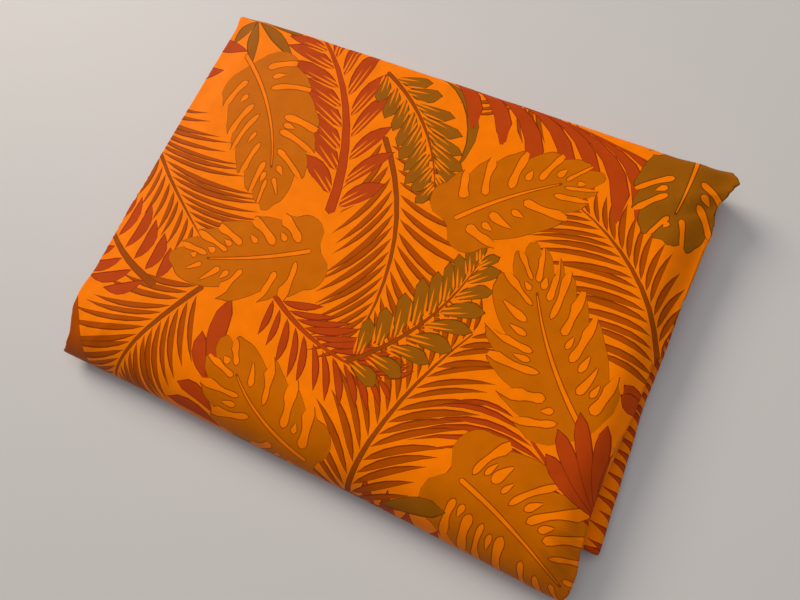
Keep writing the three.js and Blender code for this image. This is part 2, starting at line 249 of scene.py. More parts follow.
def veinSlit(leaf, side, cut, outer, stop=1.0, grow=0.0):
    # a slit along a vein, round where it starts, fullest at share full of its length, then narrower; it is
    # rounded off, or flares where it opens at the margin and runs on to share stop beside the longer lobe
    form, full = slitForm, cut["full"]
    rows = ([], [])
    for i in range(leaf["slitSteps"] + 1):
        share = stop * (i / leaf["slitSteps"]) ** form["bunched"]
        r = cut["inner"] + (outer - cut["inner"]) * share
        wide = cut["half"] * math.sqrt(max(0.0, 1 - (1 - min(1.0, share / full)) ** 2))
        wide *= 1 - form["narrowing"] * max(0.0, (share - full) / (1 - full)) ** form["narrowPower"]
        if cut["opened"]:
            flared = max(0.0, (min(1.0, share) - form["flareFrom"]) / (1 - form["flareFrom"]))
            wide += cut["flare"] * flared ** form["flarePower"]
        else:
            wide *= math.sqrt(max(0.0, 1 - share ** 4))
        u, v = veinPoint(leaf, side, cut["t"], r)
        aheadU, aheadV = veinPoint(leaf, side, cut["t"], r + 0.03)
        heading = math.atan2(aheadV - v, aheadU - u)
        u, v = stepped(u, v, heading, 0.0 if i else -grow)
        wide = max(form["least"], wide) + (grow if i else 0.4 * grow)
        for row, sign in zip(rows, (1, -1)):
            offset = wide * sign
            if share > 1 and sign != side:
                offset *= max(0.0, 1 - (share - 1) / form["runOn"])
            row.append(stepped(u, v, heading, 0.0, offset))
    return rows[0] + rows[1][::-1]


lobeForm = {"shoulder": 0.62, "shoulderPower": 1.6, "corner": 0.24, "cornerPower": 1.7, "dent": 0.04,
            "dentReach": 0.12, "widening": 0.07}


def lobeEdge(share, cutBefore, cutAfter):
    # the margin of one lobe from the slit before it to the one after it: a long round shoulder, a shallow
    # dent and a shorter round corner
    form = lobeForm
    shoulder = cutBefore["shoulder"] * max(0.0, 1 - share / form["shoulder"]) ** form["shoulderPower"]
    corner = cutAfter["corner"] * max(0.0, 1 - (1 - share) / form["corner"]) ** form["cornerPower"]
    dent = form["dent"] * math.exp(-((share - cutBefore["dent"]) / form["dentReach"]) ** 2)
    return 1 + form["widening"] * share - shoulder - corner - dent


# ranges of a split leaf's slits and holes: how far a slit strays along the midrib, where it starts beside it,
# its half width as a share of slit, where it is fullest, the lobes' shoulder, corner and dent beside it, its
# flare, where it ends if it stays inside the leaf, and a hole's start, half width and length
splitForm = {"stray": (-0.22, 0.22), "inner": (0.16, 0.34), "half": (0.65, 1.25), "full": (0.12, 0.34),
             "shoulder": (0.6, 1.2), "corner": (0.14, 0.26), "dent": (0.4, 0.75), "flare": (0.6, 1.3),
             "closedEnd": (0.62, 0.8), "holeInner": (0.24, 0.36), "holeHalf": (0.6, 0.85),
             "holeLength": (0.18, 0.28)}


def paintSplitLeaf(shapes, leaf, rng):
    # a broad leaf: lobes with slits between them that run in from the margin, and small holes by the midrib
    def drawn(what):
        return rng.uniform(*splitForm[what])

    line, filling = leaf["ink"] + "Line", leaf["ink"]
    lobes, width, heel = leaf["lobes"], leaf["halfWidth"], leaf["heel"]
    ends = {"shoulder": 0.05, "corner": 0.0, "dent": 0.5}
    cuts = {}
    for side in (1, -1):
        cuts[side] = [{
            "t": 0.02 + (i + 0.5 + drawn("stray")) / lobes * 0.93, "inner": drawn("inner"),
            "half": leaf["slit"] * drawn("half") * (1 - 0.5 * ((i + 0.5) / lobes) ** 2),
            "full": drawn("full"), "shoulder": leaf["notch"] * drawn("shoulder"), "corner": drawn("corner"),
            "dent": drawn("dent"), "opened": rng.random() < leaf["opened"],
            "flare": leaf["flare"] * drawn("flare") * (1 - 0.7 * (i / lobes) ** 2),
        } for i in range(lobes)]

    def margin(side, t):
        opened = [cut for cut in cuts[side] if cut["opened"]]
        rows = [{"t": -heel, **ends}] + opened + [{"t": 1.0, **ends}]
        for before, after in zip(rows, rows[1:]):
            if t <= after["t"]:
                share = min(1.0, max(0.0, (t - before["t"]) / (after["t"] - before["t"])))
                return lobeEdge(share, before, after) * math.sqrt(max(0.03, 1 - (min(t, 0.0) / heel) ** 2))
        return 1.0

    def body(inset):
        points = []
        for side in (1, -1):
            ts = [-heel + (1 + heel) * i / leaf["marginSteps"] for i in range(leaf["marginSteps"] + 1)]
            row = [veinPoint(leaf, side, t, max(0.0, margin(side, t) - inset / width)) for t in ts]
            points += row if side == 1 else row[::-1]
        return points

    shapes.append((body(0.0), line))
    shapes.append((body(leaf["band"]), filling))
    slits = []
    for side in (1, -1):
        for i, cut in enumerate(cuts[side]):
            low, high = sorted(margin(side, cut["t"] + step) for step in (-0.012, 0.012))
            if cut["opened"]:
                slits.append((side, cut, low, (high + 0.01 - cut["inner"]) / (low - cut["inner"])))
            else:
                slits.append((side, cut, drawn("closedEnd"), 1.0))
            after = cuts[side][i + 1]["t"] if i + 1 < lobes else 1.0
            if rng.random() < leaf["holes"] and after - cut["t"] > 0.1:
                hole = {"t": (cut["t"] + after) / 2, "inner": drawn("holeInner"),
                        "half": leaf["slit"] * drawn("holeHalf"), "full": 0.4, "opened": False}
                slits.append((side, hole, hole["inner"] + drawn("holeLength"), 1.0))
    for side, cut, outer, stop in slits:
        shapes.append((veinSlit(leaf, side, cut, outer, stop, leaf["line"]), line))
    paintRib(shapes, leaf, leaf["ribFrom"], 0.74, leaf["rib"], line, leaf["line"])
    for side, cut, outer, stop in slits:
        shapes.append((veinSlit(leaf, side, cut, outer, stop), "ground"))
    paintRib(shapes, leaf, leaf["ribFrom"], 0.72, leaf["rib"], "ground")


# kinds of leaf: lengths in mm, spreads in degrees from the midrib at the base and at the tip
frond = {"paint": paintFrond, "root": 0.6, "curl": 0.06, "lean": 0.2, "band": 0.6}
leafKinds = {
    "palm": {**frond, "count": 18, "blade": 46, "width": 4.6, "spread": (60, 36), "rib": 4.0, "gap": 1.4,
             "ink": "brown", "ribInk": "umber", "rise": 0.4, "fall": 0.5, "lean": 0.35},
    "fern": {**frond, "count": 10, "blade": 36, "width": 11, "spread": (54, 34), "rib": 5.5, "gap": 1.2,
             "ink": "rust", "ribInk": "rust", "rise": 0.5, "fall": 0.6, "streaks": 3},
    "split": {"paint": paintSplitLeaf, "lobes": 6, "halfWidth": 36, "spread": (94, 8), "sweep": 0.26,
              "heel": 0.12, "heelSpread": 52, "ribShare": 0.84, "slit": 2.7, "opened": 0.9, "holes": 0.5,
              "notch": 0.27, "flare": 2.0, "ribFrom": 0.04, "rib": 2.6, "band": 0.7, "line": 0.6,
              "marginSteps": 72, "slitSteps": 8, "ink": "ochre"},
    "feather": {**frond, "count": 9, "blade": 31, "width": 11.0, "spread": (56, 30), "rib": 3.0, "gap": 1.6,
                "ink": "olive", "ribInk": "umber", "rise": 0.62, "fall": 0.74, "root": 0.8, "curl": 0.08,
                "streaks": 3},
}


def leafRow(kind, base, tip, bow, **own):
    # a leaf of the layout: its kind's values, where it lies, and values of its own
    return {**leafKinds[kind], "base": base, "tip": tip, "bow": bow, **own}


# the leaves of one repeat of the print, undermost first
leafLayout = [
    leafRow("palm", (-226, 58), (-118, -28), -4, blade=74, spread=(44, 36), spreadRight=(54, 46),
            reachRight=0.45, width=3.8),
    leafRow("palm", (-34, 80), (9, -54), 16, blade=56, count=17, spread=(58, 38)),
    leafRow("palm", (-99, -58), (-139, -156), -4, blade=54, count=16, spread=(54, 42), reachRight=1.2,
            width=4.4),
    leafRow("palm", (39, -158), (72, -20), 10, blade=52, count=17, spread=(54, 38)),
    leafRow("palm", (181, -12), (98, 79), -14, blade=60, spread=(68, 44), spreadRight=(46, 34),
            reachRight=0.55, width=4.3),
    leafRow("palm", (178, -92), (114, -55), 2, blade=80, count=8, sides=(1,), spread=(30, 48), ink="rust",
            ribInk="rust", curl=0.12),
    leafRow("fern", (-24, 141), (148, 121), 3, blade=78, width=12.5, sides=(-1,), spread=(38, 36), curl=0.2,
            rise=0.9, fall=0.9, root=0.9, blunt=3.0, streaks=0, rib=3.0, gap=0.0, seed=4),
    leafRow("fern", (-45, 20), (-124, 146), -17, blade=45, width=11.5, spread=(46, 38),
            spreadRight=(46, 34), rib=7.0, gap=2.4, seed=5),
    leafRow("fern", (-131, -69), (-204, -24), 8, blade=35, width=8.5, count=8, spread=(40, 64),
            spreadRight=(74, 44), ribInk="umber", streaks=0, curl=-0.12, seed=6),
    leafRow("fern", (-51, -45), (34, -65), -7, blade=38, width=5.2, count=12, spread=(46, 30),
            spreadRight=(58, 40), reachRight=0.85, rib=3.4, streaks=0, seed=7),
    leafRow("feather", (-54, 126), (12, 58), 9, spread=(40, 26), spreadRight=(56, 40), seed=8),
    leafRow("feather", (10, -64), (58, 22), -9, seed=9),
    leafRow("split", (-150, 99), (-88, 4), 11, heelSpread=16, notch=0.2, flare=1.4, slit=2.5, ribFrom=-0.08,
            seed=21),
    leafRow("split", (-41, -8), (-131, -47), 4, halfWidth=33, lobes=5, flare=2.8, seed=22),
    leafRow("split", (30, 41), (106, 104), 4, halfWidth=33, lobes=5, seed=23),
    leafRow("split", (151, -49), (84, 46), 8, halfWidth=39, notch=0.36, flare=2.8, lobes=7, heel=0.06,
            heelSpread=8, spread=(88, 8), seed=24),
    leafRow("split", (13, -130), (-68, -80), 8, halfWidth=34, notch=0.38, flare=3.2, lobes=5, seed=25),
    leafRow("split", (95, -97), (192, -142), 5, halfWidth=38, spread=(108, 10), flare=2.4, notch=0.3,
            lobes=8, slit=2.5, seed=26),
    leafRow("split", (153, 150), (150, 76), 2, halfWidth=34, lobes=4, slit=3.0, notch=0.16, flare=1.6,
            holes=0.2, ink="olive", seed=28),
]

# single blades, drawn before the leaves or after them
petal = {"rise": 0.62, "fall": 0.66, "root": 0.9, "blunt": 2.4, "band": 0.6}
lens = {**petal, "rise": 0.5, "fall": 0.45, "root": 1.0, "blunt": 1.6, "steps": 8}
sickle = {**lens, "rise": 0.7}


def bladeRow(form, ink, base, tip, width, bow):
    return {**form, "ink": ink, "base": base, "tip": tip, "width": width, "bow": bow}


looseBlades = {
    "under": [
        bladeRow(lens, "olive", (-165, 134), (-174, 110), 9, -2),
        bladeRow(lens, "olive", (-165, 134), (-150, 98), 9, -2),
        bladeRow(lens, "olive", (-165, 134), (-122, 111), 9, 2),
        bladeRow(lens, "olive", (-165, 136), (-120, 130), 7, 2),
        bladeRow(lens, "rust", (-196, 106), (-159, 108), 11, 1),
        bladeRow(lens, "rust", (-200, 78), (-169, 90), 12, -1),
        bladeRow(petal, "rust", (-64, -112), (-77, -56), 13, 3),
        bladeRow(petal, "rust", (-66, -110), (-84, -83), 10, 3),
        bladeRow(petal, "rust", (-56, -128), (-86, -118), 10, -4),
        bladeRow(petal, "rust", (-50, -138), (-92, -132), 10, -4),
        bladeRow(sickle, "olive", (-22, 137), (18, 70), 9, 19),
    ],
    "over": [
        bladeRow(petal, "olive", (60, -134), (98, -118), 12, 2),
        bladeRow(petal, "brown", (-194, -76), (-158, -150), 28, -5),
    ],
}

# blades that spread from one point: where, the first and last heading in degrees, and how many
bladeFans = [
    {"at": (172, -86), "headings": (152, 88), "count": 5, "reach": 54, "width": 9.5, "steps": 10,
     "blunt": 3.2, "ink": "rust"},
    {"at": (181, -21), "headings": (160, 176), "count": 2, "reach": 28, "width": 11, "ink": "rust"},
]

# what a leaf has fewer of where the print lies far from the top
coarseForm = {"steps": 3, "marginSteps": 28, "slitSteps": 4, "streaks": 0}
bladeLean = 0.2


def moved(leaf, du, dv):
    return {**leaf, "base": (leaf["base"][0] + du, leaf["base"][1] + dv),
            "tip": (leaf["tip"][0] + du, leaf["tip"][1] + dv)}


def paintLooseBlade(shapes, blade):
    paintBlade(shapes, blade, blade["base"], blade["tip"], None, blade["bow"], bladeLean)


def paintLoose(shapes, layer, du, dv):
    for row in looseBlades[layer]:
        paintLooseBlade(shapes, moved(row, du, dv))


def printShapes(du=0.0, dv=0.0, fine=True):
    # every shape of one repeat, moved by du and dv, undermost first, with fewer points where it isn't fine
    shapes = []
    paintLoose(shapes, "under", du, dv)
    for number, row in enumerate(leafLayout):
        leaf = moved(row, du, dv)
        if not fine:
            leaf.update(coarseForm)
        leaf["paint"](shapes, leaf, random.Random(row.get("seed", number)))
    rng = random.Random(11)
    for fan in bladeFans:
        base = (fan["at"][0] + du, fan["at"][1] + dv)
        for i in range(fan["count"]):
            share = i / (fan["count"] - 1)
            first, last = fan["headings"]
            heading = math.radians(first + (last - first) * share)
            reach = fan["reach"] * (0.8 + 0.2 * math.sin(math.pi * share)) * rng.uniform(0.9, 1.05)
            tip = stepped(*base, heading, reach)
            paintBlade(shapes, {**petal, **fan}, base, tip, None, 1.5, bladeLean)
    paintLoose(shapes, "over", du, dv)
    return shapes


def clipped(points, axis, limit, keepAbove):
    # the part of an outline on one side of a straight limit
    kept = []
    inside = [(p[axis] >= limit) == keepAbove or p[axis] == limit for p in points]
    for i, p in enumerate(points):
        q, qInside = points[i - 1], inside[i - 1]
        if inside[i] != qInside:
            share = (limit - q[axis]) / (p[axis] - q[axis])
            kept.append((q[0] + (p[0] - q[0]) * share, q[1] + (p[1] - q[1]) * share))
        if inside[i]:
            kept.append(p)
    return kept


def clippedToBox(points, box):
    for axis in (0, 1):
        low, high = box[axis]
        if max(p[axis] for p in points) <= low or min(p[axis] for p in points) >= high:
            return []
        if min(p[axis] for p in points) < low:
            points = clipped(points, axis, low, True)
        if points and max(p[axis] for p in points) > high:
            points = clipped(points, axis, high, False)
        if len(points) < 3:
            return []
    return points


def closelySpaced(points, bands):
    # an outline with its edges split where they cross a band in which the cloth turns sharply; a band is an
    # axis, its lowest and highest value, and the longest edge
    split = []
    for p, q in zip(points, points[1:] + points[:1]):
        split.append(p)
        length = math.hypot(q[0] - p[0], q[1] - p[1])
        steps = [step for axis, low, high, step in bands
                 if min(p[axis], q[axis]) < high and max(p[axis], q[axis]) > low and length > step]
        if steps:
            count = int(length / min(steps)) + 1
            du, dv = q[0] - p[0], q[1] - p[1]
            split += [(p[0] + du * i / count, p[1] + dv * i / count) for i in range(1, count)]
    return split


def signedArea(points):
    return sum(p[0] * q[1] - q[0] * p[1] for p, q in zip(points, points[1:] + points[:1])) / 2


def cutSheet(box, gridU, gridV, shapes, printBoxes, bands):
    # a flat sheet cut along every printed edge, each triangle in its own ink
    (u0, u1), (v0, v1) = box
    coords = [Vector((u0, v0)), Vector((u1, v0)), Vector((u1, v1)), Vector((u0, v1))]
    faces, faceInks = [[0, 1, 2, 3]], ["ground"]
    # the print stops just short of the sheet's own edges, which keeps the cut sound
    clear = 0.03
    limits = [(low + clear, high - clear) for low, high in box]
    printBoxes = [[(max(low, first), min(high, last)) for (low, high), (first, last) in zip(printBox, limits)]
                  for printBox in printBoxes]
    for outline, ink in shapes:
        for printBox in printBoxes:
            points = clippedToBox(outline, printBox)
            if len(points) < 3:
                continue
            if signedArea(points) < 0:
                points = points[::-1]
            points = closelySpaced(points, bands)
            first = len(coords)
            coords.extend(Vector(p) for p in points)
            faces.append(list(range(first, len(coords))))
            faceInks.append(ink)
    coords.extend(Vector((u, v)) for u in gridU for v in gridV)
    flat, _, triangles, _, _, sources = delaunay_2d_cdt(coords, [], faces, 0, 1e-4, True)
    keep = [i for i, source in enumerate(sources) if 0 in source]
    tris = np.array([triangles[i] for i in keep], dtype=np.int32)
    palette = {ink: linear(value) for ink, value in inks.items()}
    colours = np.array([palette[faceInks[max(sources[i])]] for i in keep], dtype=np.float32)
    used, tris = np.unique(tris, return_inverse=True)
    flat = np.array([(p[0], p[1]) for p in flat])[used]
    return flat, tris.reshape(-1, 3), colours


def placedSheet(cut, place):
    # puts a cut sheet in place, with its normals worked out from how it lies and its faces turned to them
    flat, tris, colours = cut
    u, v = flat[:, 0], flat[:, 1]
    points = place(u, v)
    step = 0.05
    normals = np.cross(place(u + step, v) - place(u - step, v), place(u, v + step) - place(u, v - step))
    normals /= np.maximum(np.linalg.norm(normals, axis=1), 1e-9)[:, None]
    facing = np.cross(points[tris[:, 1]] - points[tris[:, 0]], points[tris[:, 2]] - points[tris[:, 0]])
    flip = np.sum(facing * normals[tris].sum(axis=1), axis=1) < 0
    tris = np.where(flip[:, None], tris[:, ::-1], tris)
    return (points + np.array([shiftX, shiftY, 0.0])) * mm, normals, tris, colours, flat


def makePiece(name, sheets, material):
    # one piece from placed sheets, with the print as a colour attribute and the flat cut as its UV map
    starts = np.cumsum([0] + [len(sheet[0]) for sheet in sheets])
    points, normals, tris, colours, flat = [np.concatenate(parts) for parts in zip(*sheets)]
    tris = tris + np.repeat(starts[:-1], [len(sheet[2]) for sheet in sheets])[:, None]
    mesh = bpy.data.meshes.new(name)
    mesh.from_pydata(points.tolist(), [], tris.tolist())
    mesh.polygons.foreach_set("use_smooth", [True] * len(tris))
    attribute = mesh.color_attributes.new("print", "FLOAT_COLOR", "CORNER")
    attribute.data.foreach_set("color", np.repeat(colours, 3, axis=0).ravel())
    uvs = mesh.uv_layers.new(name="cut")
    uvs.data.foreach_set("uv", (flat[tris.ravel()] * mm).astype(np.float32).ravel())
    mesh.normals_split_custom_set_from_vertices(normals.tolist())
    mesh.materials.append(material)
    piece = bpy.data.objects.new(name, mesh)
    bpy.context.collection.objects.link(piece)
    print("made", name, "with", len(tris), "triangles")
    return piece


# How the cloth lies.

# how many points each stretch of the section has
sectionSteps = {"under": 120, "nose": 60, "roll": 90, "top": 120, "fold": 60, "backUnder": 60}


def sectionTable():
    # rows of (distance along the cloth, y, z, outward y, outward z), from the front free edge over the top
    # to the back one, with the distance equal to y on the top
    nose, backNose, top = frontRoll["noseHeight"], backFold["noseHeight"], pad["height"]
    freeFront, freeBack = freeEdge["y"] - freeEdge["opening"] / 2, freeEdge["y"] + freeEdge["opening"] / 2
    rows = []

    def line(fromY, toY, z, outZ, count):
        for i in range(count):
            rows.append((fromY + (toY - fromY) * i / count, z, 0.0, outZ))

    def arc(y, z, reachY, reachZ, start, end, count):
        for i in range(count):
            a = math.radians(start + (end - start) * i / count)
            rows.append((y + reachY * math.cos(a), z + reachZ * math.sin(a), math.cos(a), math.sin(a)))

    line(freeFront, underY, 0.0, -1.0, sectionSteps["under"])
    arc(underY, nose, frontRoll["underDepth"], nose, 270, 180, sectionSteps["nose"])
    arc(rollY, nose, frontRoll["depth"], top - nose, 180, 90, sectionSteps["roll"])
    topStart = len(rows)
    line(rollY, backY, top, 1.0, sectionSteps["top"])
    arc(backY, backNose, backFold["depth"], top - backNose, 90, 0, sectionSteps["fold"])
    arc(backY, backNose, backFold["depth"], backNose, 0, -90, sectionSteps["fold"])
    line(backY, freeBack, 0.0, -1.0, sectionSteps["backUnder"])
    rows.append((freeBack, 0.0, 0.0, -1.0))
    rows = np.array(rows)
    distance = np.concatenate([[0.0], np.cumsum(np.hypot(np.diff(rows[:, 0]), np.diff(rows[:, 1])))])
    distance += rollY - distance[topStart]
    return np.column_stack([distance, rows])


section = sectionTable()
lengthFrom, lengthTo = section[0, 0], section[-1, 0]


def sectionAt(v, offset):
    # y and z of the section at distance v along the cloth, offset inwards
    y = np.interp(v, section[:, 0], section[:, 1]) - offset * np.interp(v, section[:, 0], section[:, 3])
    z = np.interp(v, section[:, 0], section[:, 2]) - offset * np.interp(v, section[:, 0], section[:, 4])
    return y, z


# shares of the height: the middle is crowned, and both ends drop, the right one less where it is held up at
# the back
settling = {"crown": 0.05, "crownHalfLength": 190, "crownHalfWidth": 150, "rightDrop": 0.3,
            "rightDropFrom": 146, "rightDropRun": 30, "heldShare": 0.16, "heldY": 126, "heldReach": 60,
            "leftDrop": 0.05, "leftDropFrom": -160, "leftDropRun": 16}

softFolds = named(
    "x y degrees halfLength halfWidth rise",
    (-132, -96, 60, 60, 22, 0.03),
    (-30, -90, 100, 60, 26, -0.022),
    (120, -84, 42, 80, 20, 0.035),
    (136, 92, -38, 60, 20, 0.03),
    (60, 50, -12, 110, 30, 0.022),
    (-70, 20, 28, 110, 30, -0.02),
)

# finer creases of the top and the front roll: ridges above 0 and troughs below, in mm
creases = named(
    "x y degrees halfLength halfWidth height",
    (168, 116, 208, 46, 5, 1.1),
    (160, 100, 222, 34, 5, -0.9),
    (150, -104, 148, 40, 4.5, 1.0),
    (158, -116, 160, 30, 3.6, -1.1),
    (164, -92, 120, 34, 4, -0.8),
    (165, -124, 150, 24, 2.4, -1.7),
    (168, -116, 160, 26, 2.2, 1.2),
    (169, -108, 167, 28, 2.6, -1.5),
    (167, -99, 176, 20, 2.6, 0.9),
    (-150, -112, 62, 34, 5, 0.9),
    (-164, -96, 74, 40, 5, -0.8),
    (-168, -20, 86, 60, 5, 0.6),
    (-90, -118, 84, 26, 6, -0.7),
    (-36, -116, 98, 30, 7, 0.6),
    (22, -118, 80, 24, 6, -0.6),
    (84, -112, 104, 34, 7, 0.7),
    (40, 118, 82, 26, 7, 0.5),
    (-60, 122, 98, 22, 6, -0.5),
    (-120, 112, 70, 34, 8, 0.5),
)


def acrossFold(x, y, fold):
    # how far a place lies along a fold and across it
    angle = math.radians(fold["degrees"])
    dx, dy = x - fold["x"], y - fold["y"]
    return dx * math.cos(angle) + dy * math.sin(angle), -dx * math.sin(angle) + dy * math.cos(angle)


def settled(x, y, z):
    # the height of a point once the pad has settled
    s = settling
    crown = s["crown"] * np.maximum(0, 1 - (x / s["crownHalfLength"]) ** 2)
    crown = crown * np.maximum(0, 1 - (y / s["crownHalfWidth"]) ** 2)
    looseEnd = s["rightDrop"] - s["heldShare"] * bump(y - s["heldY"], s["heldReach"])
    rightDrop = looseEnd * smooth((x - s["rightDropFrom"]) / s["rightDropRun"]) ** 2
    leftDrop = s["leftDrop"] * smooth((s["leftDropFrom"] - x) / s["leftDropRun"])
    share = 1 + crown - rightDrop - leftDrop
    for fold in softFolds:
        lengthways, across = acrossFold(x, y, fold)
        rise = fold["rise"] * bump(lengthways, fold["halfLength"])
        share = share + rise * np.exp(-((across / fold["halfWidth"]) ** 2))
    return z * share


def along(table, place):
    # the value of a table of (place, value) rows at a place, eased between its rows
    places, values = np.array(table, float).T
    after = np.clip(np.searchsorted(places, place), 1, len(places) - 1)
    share = smooth((place - places[after - 1]) / (places[after] - places[after - 1]))
    return values[after - 1] + (values[after] - values[after - 1]) * share


floorClearance = 0.05


def laid(x, y, z, lift=0.0):
    # where a point of the straight layout lies once it is settled and the pad's edges are bowed
    back = smooth((y - bowReach["from"]) / bowReach["run"])
    front = smooth((-y - bowReach["from"]) / bowReach["run"])
    bowed = y + along(backBow, x) * back + along(frontBow, x) * front
    return np.stack([x, bowed, np.maximum(settled(x, y, z) + lift, floorClearance)], axis=-1)


def creaseHeight(x, y):
    height = np.zeros_like(x)
    for fold in creases:
        lengthways, across = acrossFold(x, y, fold)
        falloff = (1 + (across / fold["halfWidth"]) ** 2) ** 1.5
        height += fold["height"] * bump(lengthways, fold["halfLength"]) / falloff
    return height


topFrom, topRun = 12, 12


def topShare(z):
    # 0 on the underside, 1 on the top
    return smooth((z - topFrom) / topRun)


def wavy(v, *waves):
    # a slow uneven waver along an edge, from the length and phase of each of its waves
    height = 1.0
    for length, phase in waves:
        height = height * np.sin(v / length + phase)
    return height


# the small ear at the front left corner, and how the second turn stops short of the pad's ends
frontEar = {"outer": 6, "second": 8, "reach": 13, "z": 12, "height": 9}
undersideShorter = 2
secondShort = {"left": 2.5, "right": 4, "front": 2.5, "frontFrom": -60, "frontRun": 40}


def earShare(y, z):
    return bump(y - pad["front"], frontEar["reach"]) * bump(z - frontEar["z"], frontEar["height"])


def outerLeftEnd(y, z):
    edge = along(outerLeftEdge, y)
    below = np.maximum(edge, pad["left"]) + undersideShorter
    return below + (edge - below) * topShare(z) - frontEar["outer"] * earShare(y, z)


def outerRightEnd(y, z):
    edge = along(outerRightEdge, y)
    below = np.minimum(edge, pad["right"]) - undersideShorter
    return below + (edge - below) * topShare(z)


def secondLeftEnd(y, z):
    return pad["left"] + secondShort["left"] - frontEar["second"] * earShare(y, z)


def secondRightEnd(y, z):
    front = smooth((secondShort["frontFrom"] - y) / secondShort["frontRun"])
    return pad["right"] - secondShort["right"] - secondShort["front"] * front


def overLip(u, left, right, radius):
    # x of flat cloth that turns over a small round lip past each end and runs back inside, with how far round
    # the lip it lies and how far past the end
    pastRight, pastLeft = np.clip(u - right, 0, None), np.clip(left - u, 0, None)
    past = pastRight + pastLeft
    turned = np.clip(past / radius, 0, math.pi)
    reach = radius * np.sin(turned) - np.clip(past - math.pi * radius, 0, None)
    x = np.where(pastRight > 0, right + reach, np.where(pastLeft > 0, left - reach, u))
    return x, turned, past


creaseFade = 20


def turnPlace(offset, wall, leftEnd, rightEnd, waver):
    # puts flat cloth round the pad, with a lip at both ends
    radius = wall / 2
    tuck = min(1.0, wall / 2)

    def place(u, v):
        u, v = np.asarray(u, float), np.asarray(v, float)
        inside = np.clip(v, lengthFrom, lengthTo)
        y, z = sectionAt(inside, offset)
        left = leftEnd(y, z) + radius + waver * wavy(v, (23, 1.0), (57, 0.0))
        right = rightEnd(y, z) - radius - waver * wavy(v, (19, 0.0), (61, 2.0))
        x, turned, past = overLip(u, left, right, radius)
        depth = offset + radius * (1 - np.cos(turned))
        # the free edges turn up into the pad
        over = np.clip(np.maximum(v - lengthTo, lengthFrom - v), 0, None)
        y, z = sectionAt(inside, depth)
        direction = np.where(v > lengthTo, -1.0, 1.0)
        bend = np.clip(over / tuck, 0, math.pi / 2)
        rise = np.clip(over - tuck * math.pi / 2, 0, None)
        y = y + direction * tuck * np.sin(bend)
        z = z + tuck * (1 - np.cos(bend)) + rise
        return laid(x, y, z, creaseHeight(x, y) * topShare(z) * smooth(1 - past / creaseFade))

    return place


# The cloth's material.

def addNode(tree, kind, links=(), **settings):
    # adds a node, sets its inputs by name or its own properties, and links (input, source node, output)
    node = tree.nodes.new(kind)
    for key, value in settings.items():
        if key in node.inputs:
            node.inputs[key].default_value = value
        else:
            setattr(node, key, value)
    for target, source, output in links:
        tree.links.new(source.outputs[output], node.inputs[target])
    return node


silk = {"roughness": 0.55, "specular": 0.11, "glossTint": "#ffa050", "weave": 0.345575, "weaveDepth": 0.2,
        "mottle": 11.0}


def silkMaterial(name):
    # plain-weave dyed silk: fine threads, a low soft gloss, ink that lies a little unevenly
    material = bpy.data.materials.new(name)
    material.use_nodes = True
    tree = material.node_tree
    tree.nodes.clear()
    ink = addNode(tree, "ShaderNodeAttribute", attribute_name="print")
    uv = addNode(tree, "ShaderNodeUVMap", uv_map="cut")
    mottle = addNode(tree, "ShaderNodeTexNoise", [("Vector", uv, "UV")],
                     Scale=1 / (silk["mottle"] * mm), Detail=3.0)
    mottleTone = addNode(tree, "ShaderNodeMapRange", [("Value", mottle, "Fac")],
                         **{"From Min": 0.3, "From Max": 0.7, "To Min": 0.93, "To Max": 1.04})
    # threads of 0.1 mm are too fine to show, so the weave is drawn several threads wide; a wave texture
    # repeats every pi / 10 of its own units
    warp, weft = [addNode(tree, "ShaderNodeTexWave", [("Vector", uv, "UV")], bands_direction=direction,
                          Scale=math.pi / 10 / (silk["weave"] * mm), Distortion=0.6, Detail=1.0)
                  for direction in ("X", "Y")]
    weave = addNode(tree, "ShaderNodeMath", [(0, warp, "Fac"), (1, weft, "Fac")], operation="ADD")
    weaveTone = addNode(tree, "ShaderNodeMapRange", [("Value", weave, "Value")],
                        **{"From Max": 2.0, "To Min": 0.965, "To Max": 1.03})
    tone = addNode(tree, "ShaderNodeMath", [(0, mottleTone, "Result"), (1, weaveTone, "Result")],
                   operation="MULTIPLY")
    colour = addNode(tree, "ShaderNodeVectorMath", [(0, ink, "Color"), (1, tone, "Value")],
                     operation="MULTIPLY")
    bumped = addNode(tree, "ShaderNodeBump", [("Height", weave, "Value")], Strength=0.12,
                     Distance=silk["weaveDepth"] * mm)
    shader = addNode(tree, "ShaderNodeBsdfPrincipled",
                     [("Base Color", colour, "Vector"), ("Normal", bumped, "Normal")],
                     **{"Roughness": silk["roughness"], "Specular IOR Level": silk["specular"],
                        "Specular Tint": linear(silk["glossTint"])})
    addNode(tree, "ShaderNodeOutputMaterial", [("Surface", shader, "BSDF")])
    return material


# The camera, floor and lights.

camera = {"place": (136.4121, -110.7722, 431.1448), "turn": (0.3202, 0.1564, 0.4423), "lens": 31.5,
          "film": 36}
# places and sizes of the floor and the lights are in metres
stage = {"floorSize": 6, "floorColour": "#c6c2be", "floorRoughness": 0.6, "skyColour": "#e9edf2", "sky": 0.2}
lamps = named(
    "name place size energy colour",
    ("key", (-2.3, 1.2, 2.0), 1.8, 84, "#fff6ea"),
    ("overhead", (0.0, 0.3, 1.8), 2.2, 15, "#f6f8ff"),
)


